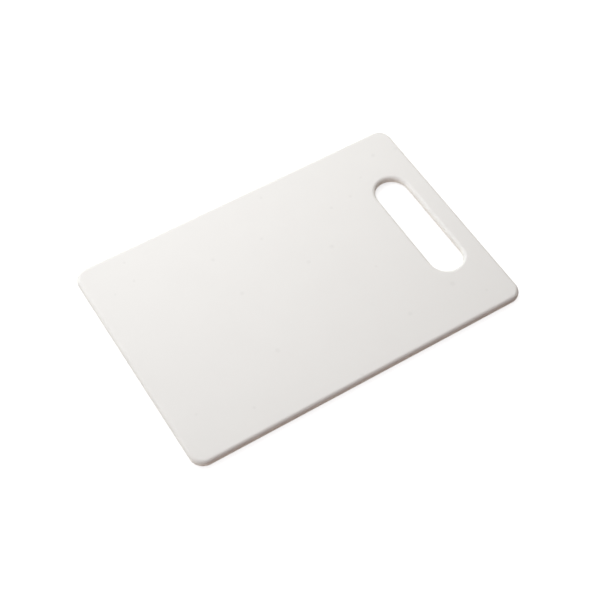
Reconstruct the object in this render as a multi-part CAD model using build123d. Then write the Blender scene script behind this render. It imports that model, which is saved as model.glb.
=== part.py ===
# One-piece moulded plastic cutting mat: a flat plate with rounded corners, a hand slot across one end,
# and an edge that is rolled over, top and bottom, round the outline and round the slot.
# +X runs along the mat towards the hand slot, +Y across it, +Z up.
# The origin is the middle of the underside.
from build123d import *
import os

MM = 1.0

# Driving dimensions of the plate.
mat_length = 295.0 * MM
mat_width = 200.0 * MM
mat_thickness = 7.0 * MM
corner_radius = 11.5 * MM

# The rolled edge: a narrow flat land at mid height, where the two halves of the mould part,
# and an arc from each side of it to the face.
parting_land = 0.4 * MM
edge_radius = (mat_thickness - parting_land) / 2

# The hand slot: its clear size at the land, and the web of plastic left at the end of the mat.
slot_clear_length = 103.5 * MM
slot_clear_width = 28.5 * MM
slot_end_web = 18.0 * MM
slot_centre_x = mat_length / 2 - slot_end_web - slot_clear_width / 2

# How far a cut runs past the faces that it leaves through.
cut_overrun = 1.0 * MM


def outline_plate():
    """The plate with its rounded corners, before any edge is rolled."""
    outline = RectangleRounded(mat_length, mat_width, corner_radius)
    return extrude(outline, mat_thickness)


def hand_slot_cutter():
    """A straight prism through the plate, as long and wide as the slot is at its land."""
    profile = Rot(0, 0, 90) * SlotOverall(slot_clear_length, slot_clear_width)
    cutter = extrude(profile, mat_thickness + 2 * cut_overrun)
    return Pos(slot_centre_x, 0, -cut_overrun) * cutter


def roll_edges(plate):
    """Every edge that lies in the top or the bottom face, rolled over to the land."""
    face_rims = plate.edges().filter_by_position(Axis.Z, 0, 0)
    face_rims += plate.edges().filter_by_position(Axis.Z, mat_thickness, mat_thickness)
    return fillet(face_rims, edge_radius)


def moulded_mat():
    """The whole mat, one solid."""
    return roll_edges(outline_plate() - hand_slot_cutter())


os.makedirs("parts", exist_ok=True)
export_step(moulded_mat(), "parts/moulded_mat.step")
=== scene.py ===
# Looks of a one-piece moulded plastic cutting mat that lies on a plain pale floor.
# Lengths are in metres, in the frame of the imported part: +X along the mat towards its hand slot,
# +Y across it, +Z up out of the working face. The origin is the middle of the underside.
import bpy
import math
from mathutils import Matrix, Vector


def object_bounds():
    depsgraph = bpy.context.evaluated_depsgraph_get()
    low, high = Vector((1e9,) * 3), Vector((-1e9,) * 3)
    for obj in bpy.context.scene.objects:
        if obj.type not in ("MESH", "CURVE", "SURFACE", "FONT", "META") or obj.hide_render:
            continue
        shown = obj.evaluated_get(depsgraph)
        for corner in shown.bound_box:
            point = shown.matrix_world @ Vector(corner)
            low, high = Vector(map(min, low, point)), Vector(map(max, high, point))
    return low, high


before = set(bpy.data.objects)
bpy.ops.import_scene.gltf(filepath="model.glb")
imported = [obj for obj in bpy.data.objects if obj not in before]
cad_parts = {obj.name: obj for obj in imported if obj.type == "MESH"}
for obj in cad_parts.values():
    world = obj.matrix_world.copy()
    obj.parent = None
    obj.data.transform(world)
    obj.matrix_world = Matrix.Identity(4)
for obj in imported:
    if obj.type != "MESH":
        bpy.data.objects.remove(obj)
cad_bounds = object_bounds()

MM = 0.001


class Nodes:
    """The node tree of a material or of the world, with short ways to add nodes and link them."""

    def __init__(self, tree):
        self.tree = tree
        self.tree.nodes.clear()

    def feed(self, socket, value):
        """Links an output to this input socket, or sets the socket to a number or a colour."""
        if isinstance(value, bpy.types.NodeSocket):
            self.tree.links.new(value, socket)
        else:
            socket.default_value = value

    def add(self, kind, **inputs):
        """A node of this kind with these inputs. In an input's name, an underscore stands for a space."""
        node = self.tree.nodes.new("ShaderNode" + kind)
        for name, value in inputs.items():
            self.feed(node.inputs[name.replace("_", " ")], value)
        return node

    def maths(self, operation, first, second=0.0):
        """First and second may each be a number or an output. Some operations use only the first."""
        node = self.add("Math")
        node.operation = operation
        for socket, value in zip(node.inputs, (first, second)):
            self.feed(socket, value)
        return node.outputs[0]

    def spread(self, value, low, high, new_low, new_high, smooth=False):
        """Maps a value from one range to another, and holds it inside the new one."""
        node = self.add("MapRange", Value=value, From_Min=low, From_Max=high,
                        To_Min=new_low, To_Max=new_high)
        node.interpolation_type = "SMOOTHSTEP" if smooth else "LINEAR"
        return node.outputs["Result"]

    def noise(self, place, size, detail, roughness):
        """Soft noise with features of about this size. Detail and roughness set its finer layers."""
        field = self.add("TexNoise", Vector=place, Scale=1 / size, Detail=detail, Roughness=roughness)
        return field.outputs["Fac"]

    def join_shaders(self, kind, first, second, **inputs):
        """A node of this kind that adds two shader nodes or mixes them."""
        node = self.add(kind, **inputs)
        shader_sockets = [socket for socket in node.inputs if socket.type == "SHADER"]
        for socket, shader in zip(shader_sockets, (first, second)):
            self.feed(socket, shader.outputs[0])
        return node


def new_material(name):
    material = bpy.data.materials.new(name)
    material.use_nodes = True
    return material, Nodes(material.node_tree)


# The white plastic of the mat: opaque polyethylene, moulded with a fine matte grain on every surface.
PLASTIC_COLOUR = (0.823, 0.813, 0.793, 1.0)
CLOUD_COLOUR = (0.817, 0.807, 0.787, 1.0)
PLASTIC_IOR = 1.5
ROUGHNESS_LOW = 0.60
ROUGHNESS_HIGH = 0.64
RIPPLE_HEIGHT = 0.006 * MM
GRAIN_HEIGHT = 0.006 * MM

# The noise behind the plastic's clouds of colour, patches of sheen, ripple and grain.
CLOUDS = {"size": 30 * MM, "detail": 3.0, "roughness": 0.55}
SHEEN_PATCHES = {"size": 16 * MM, "detail": 4.0, "roughness": 0.6}
RIPPLE = {"size": 11 * MM, "detail": 1.0, "roughness": 0.4}
GRAIN = {"size": 0.45 * MM, "detail": 2.0, "roughness": 0.5}

# The range that most of any such noise lies in.
NOISE_LOW = 0.3
NOISE_HIGH = 0.7

# The few faint grey flecks in the plastic. The smallest and the largest are shares of the usual radius,
# and the core of a fleck, which has its full strength, is a share of its own radius.
SPECK_COLOUR = (0.66, 0.65, 0.63, 1.0)
SPECK_STRENGTH = 0.21
SPECK_SPACING = 21 * MM
SPECK_RADIUS = 2.2 * MM
SMALLEST_SPECK_SHARE = 0.6
LARGEST_SPECK_SHARE = 1.4
SPECK_CORE_SHARE = 0.3
SPECKS_LEFT_OUT_SHARE = 0.8


def specks(nodes, place):
    """One in the middle of a sparse fleck in the plastic, and zero elsewhere."""
    cells = nodes.add("TexVoronoi", Vector=place, Scale=1 / SPECK_SPACING, Randomness=1.0)
    cells.voronoi_dimensions = "2D"
    # The random colour of each cell gives it random numbers from zero to one.
    draws = nodes.add("SeparateColor", Color=cells.outputs["Color"]).outputs
    kept = nodes.maths("GREATER_THAN", draws[0], SPECKS_LEFT_OUT_SHARE)
    size = nodes.spread(draws[1], 0.0, 1.0, SMALLEST_SPECK_SHARE, LARGEST_SPECK_SHARE)
    radius = nodes.maths("MULTIPLY", size, SPECK_RADIUS / SPECK_SPACING)
    from_middle = nodes.maths("DIVIDE", cells.outputs["Distance"], radius)
    soft = nodes.spread(from_middle, SPECK_CORE_SHARE, 1.0, 1.0, 0.0, smooth=True)
    return nodes.maths("MULTIPLY", soft, kept)


def white_polyethylene():
    material, nodes = new_material("white_polyethylene")
    place = nodes.add("TexCoord").outputs["Object"]

    cloud = nodes.spread(nodes.noise(place, **CLOUDS), NOISE_LOW, NOISE_HIGH, 0.0, 1.0)
    tint = nodes.add("MixRGB", Fac=cloud, Color1=PLASTIC_COLOUR, Color2=CLOUD_COLOUR)
    fleck = nodes.maths("MULTIPLY", specks(nodes, place), SPECK_STRENGTH)
    colour = nodes.add("MixRGB", Fac=fleck, Color1=tint.outputs[0], Color2=SPECK_COLOUR)

    patch = nodes.noise(place, **SHEEN_PATCHES)
    roughness = nodes.spread(patch, NOISE_LOW, NOISE_HIGH, ROUGHNESS_LOW, ROUGHNESS_HIGH)

    ripple = nodes.add("Bump", Height=nodes.noise(place, **RIPPLE), Distance=RIPPLE_HEIGHT)
    grain = nodes.add("Bump", Height=nodes.noise(place, **GRAIN), Distance=GRAIN_HEIGHT,
                      Normal=ripple.outputs[0])

    plastic = nodes.add("BsdfPrincipled", Base_Color=colour.outputs[0], Roughness=roughness,
                        IOR=PLASTIC_IOR, Normal=grain.outputs[0])
    nodes.add("OutputMaterial", Surface=plastic.outputs[0])
    return material


def seen_directly(nodes):
    """One for a ray from the camera, or one that gloss or glass sends on from it, and otherwise zero."""
    path = nodes.add("LightPath")
    either = nodes.maths("MAXIMUM", path.outputs["Is Camera Ray"], path.outputs["Is Glossy Ray"])
    return nodes.maths("MAXIMUM", either, path.outputs["Is Transmission Ray"])


# The floor that the mat lies on. The camera sees it as white, with the soft shadow of the mat on it:
# part of that white is lamplight, by SHADOW_COLOUR, which the mat keeps off, and the rest is its glow.
FLOOR_SIDE = 12.0
FLOOR_DROP = 0.05 * MM
FLOOR_COLOUR = (0.80, 0.72, 0.62, 1.0)
SHADOW_COLOUR = (0.39, 0.39, 0.39, 1.0)
GLOW_UNDER_MAT = 0.76
GLOW_BESIDE_MAT = 0.86
GLOW_FAR_OFF = 1.0

# The weaker glow under the mat is painted shade: it darkens the floor that shows in the slot and so
# deepens the mat's shadow there, while the stronger glow beside the mat makes the shadow there fainter.
# The glow under the mat turns into the glow beside it just inside its outline, between these shares
# of its half length or half width. Far off is a distance from the middle of the mat.
BESIDE_STARTS_SHARE = 0.90
BESIDE_ENDS_SHARE = 1.0
FAR_OFF_STARTS = 0.25
FAR_OFF_ENDS = 0.9


def floor_glow(nodes):
    """How strongly the floor glows: least under the mat and in its slot, more beside it, most far off."""
    place = nodes.add("TexCoord").outputs["Object"]
    half_length, half_width, _ = cad_bounds[1]
    parts = nodes.add("SeparateXYZ", Vector=place)
    along = nodes.maths("DIVIDE", nodes.maths("ABSOLUTE", parts.outputs["X"]), half_length)
    across = nodes.maths("DIVIDE", nodes.maths("ABSOLUTE", parts.outputs["Y"]), half_width)
    share = nodes.maths("MAXIMUM", along, across)
    near = nodes.spread(share, BESIDE_STARTS_SHARE, BESIDE_ENDS_SHARE, GLOW_UNDER_MAT, GLOW_BESIDE_MAT)

    distance = nodes.add("VectorMath")
    distance.operation = "LENGTH"
    nodes.feed(distance.inputs[0], place)
    more = nodes.spread(distance.outputs["Value"], FAR_OFF_STARTS, FAR_OFF_ENDS,
                        0.0, GLOW_FAR_OFF - GLOW_BESIDE_MAT)
    return nodes.maths("ADD", near, more)


def floor_material():
    """Lights the mat as a warm pale floor would. The camera sees it glow, more so away from the mat."""
    material, nodes = new_material("floor")
    lit_floor = nodes.add("BsdfDiffuse", Color=FLOOR_COLOUR)
    glow = nodes.add("Emission", Strength=floor_glow(nodes))
    shadow_catcher = nodes.add("BsdfDiffuse", Color=SHADOW_COLOUR)
    white_floor = nodes.join_shaders("AddShader", shadow_catcher, glow)
    chosen = nodes.join_shaders("MixShader", lit_floor, white_floor, Fac=seen_directly(nodes))
    nodes.add("OutputMaterial", Surface=chosen.outputs[0])
    return material


def make_floor():
    half = FLOOR_SIDE / 2
    outline = [(-half, -half), (half, -half), (half, half), (-half, half)]
    mesh = bpy.data.meshes.new("floor")
    mesh.from_pydata([(x, y, -FLOOR_DROP) for x, y in outline], [], [(0, 1, 2, 3)])
    mesh.materials.append(floor_material())
    floor = bpy.data.objects.new("floor", mesh)
    bpy.context.scene.collection.objects.link(floor)


ROOM_COLOUR = (0.0, 0.0, 0.0, 1.0)
BACKDROP_COLOUR = (1.0, 1.0, 1.0, 1.0)


def make_world():
    """A dark room, because the softboxes give the light, behind a backdrop that is seen as white."""
    world = bpy.data.worlds.new("studio")
    world.use_nodes = True
    nodes = Nodes(world.node_tree)
    room = nodes.add("Background", Color=ROOM_COLOUR)
    backdrop = nodes.add("Background", Color=BACKDROP_COLOUR)
    chosen = nodes.join_shaders("MixShader", room, backdrop, Fac=seen_directly(nodes))
    nodes.add("OutputWorld", Surface=chosen.outputs[0])
    bpy.context.scene.world = world


def direction(azimuth, elevation):
    """Outwards from the origin, by angles in degrees. Azimuth 0 is the -Y side and 90 the +X side."""
    turn = math.radians(azimuth)
    rise = math.radians(elevation)
    level = math.cos(rise)
    return Vector((math.sin(turn) * level, -math.cos(turn) * level, math.sin(rise)))


# Each softbox: name, azimuth, elevation, distance, side of the square, watts and colour.
SOFTBOXES = [
    ("key", 192.0, 58.0, 0.8, 0.6, 2.49, (1.0, 0.995, 0.99)),
    ("overhead", 180.0, 75.0, 0.8, 0.6, 2.18, (1.0, 0.98, 0.97)),
    ("back_wall", 185.0, 32.0, 2.0, 2.2, 12.6, (0.98, 1.0, 1.0)),
    ("back_left_wall", 225.0, 35.0, 2.0, 1.8, 11.1, (0.91, 0.97, 1.0)),
    ("left_low", 275.0, 14.0, 2.0, 1.4, 11.8, (0.96, 0.99, 1.0)),
    ("right_low", 110.0, 14.0, 2.0, 1.4, 13.9, (1.0, 0.95, 0.89)),
    ("front_low", 335.0, 14.0, 2.0, 1.6, 3.1, (1.0, 0.22, 0.14)),
]


def make_softbox(name, azimuth, elevation, distance, side, watts, colour):
    """A square lamp that faces the mat. It lights and reflects, but no camera sees it."""
    lamp = bpy.data.lights.new(name, "AREA")
    lamp.shape = "SQUARE"
    lamp.size = side
    lamp.energy = watts
    lamp.color = colour
    softbox = bpy.data.objects.new(name, lamp)
    towards = direction(azimuth, elevation)
    softbox.location = towards * distance
    softbox.rotation_mode = "QUATERNION"
    softbox.rotation_quaternion = towards.to_track_quat("Z", "Y")
    softbox.visible_camera = False
    bpy.context.scene.collection.objects.link(softbox)


# The camera of the photograph, as fitted to the outline of the mat and of its slot.
# Angles are in degrees.
CAMERA_AZIMUTH = -33.481
CAMERA_ELEVATION = 55.980
CAMERA_ROLL = 1.892
CAMERA_TARGET = Vector((-4.449 * MM, -10.320 * MM, 0.0))
CAMERA_DISTANCE = 1066.97 * MM
FOCAL_LENGTH_PX = 1359.5
PICTURE_SIDE_PX = 600
NEAREST_SEEN = 0.05
FARTHEST_SEEN = 50.0
UPWARDS = Vector((0.0, 0.0, 1.0))


def make_camera():
    data = bpy.data.cameras.new("camera")
    data.lens = FOCAL_LENGTH_PX / PICTURE_SIDE_PX * data.sensor_width
    data.clip_start = NEAREST_SEEN
    data.clip_end = FARTHEST_SEEN
    camera = bpy.data.objects.new("camera", data)
    back = direction(CAMERA_AZIMUTH, CAMERA_ELEVATION)
    right = UPWARDS.cross(back).normalized()
    up = back.cross(right)
    roll = math.radians(CAMERA_ROLL)
    rolled_right = right * math.cos(roll) + up * math.sin(roll)
    rolled_up = up * math.cos(roll) - right * math.sin(roll)
    turn = Matrix((rolled_right, rolled_up, back)).transposed().to_4x4()
    camera.matrix_world = Matrix.Translation(CAMERA_TARGET + back * CAMERA_DISTANCE) @ turn
    bpy.context.scene.collection.objects.link(camera)
    bpy.context.scene.camera = camera


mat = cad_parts["moulded_mat"]
mat.data.materials.clear()
mat.data.materials.append(white_polyethylene())

make_floor()
make_world()
for softbox in SOFTBOXES:
    make_softbox(*softbox)
make_camera()
bpy.context.scene.view_settings.view_transform = "Standard"
